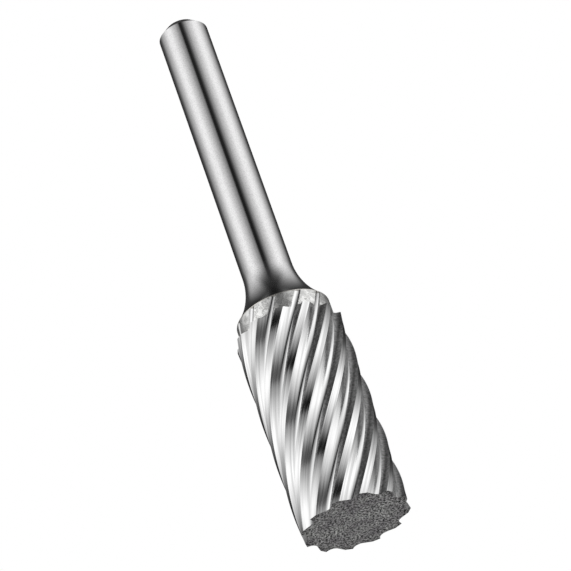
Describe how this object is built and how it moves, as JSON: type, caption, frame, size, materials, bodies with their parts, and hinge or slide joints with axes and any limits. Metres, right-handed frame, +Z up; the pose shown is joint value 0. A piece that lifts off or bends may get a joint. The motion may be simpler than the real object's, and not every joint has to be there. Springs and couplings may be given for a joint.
{
  "type": "carbide burr",
  "caption": "Cylindrical rotary burr: fluted sintered carbide head with a flat plain end, brazed to the flared neck of a round steel shank.",
  "frame": {"origin": "centre of the head's flat end face, on which the burr stands", "axes": "+Z up the shank's axis, from the cutting head to the shank's chamfered end"},
  "size_m": [0.0126, 0.0126, 0.07],
  "materials": {
    "carbide": "bright ground tungsten carbide flutes, as-sintered matt grey end face and hub",
    "solder": "satin silver solder",
    "steel": "centreless-ground tool steel, fine round-and-round grinding marks"
  },
  "bodies": {
    "root": {"cutting_head": "carbide", "braze_layer": "solder", "steel_shank": "steel"}
  },
  "joints": []
}
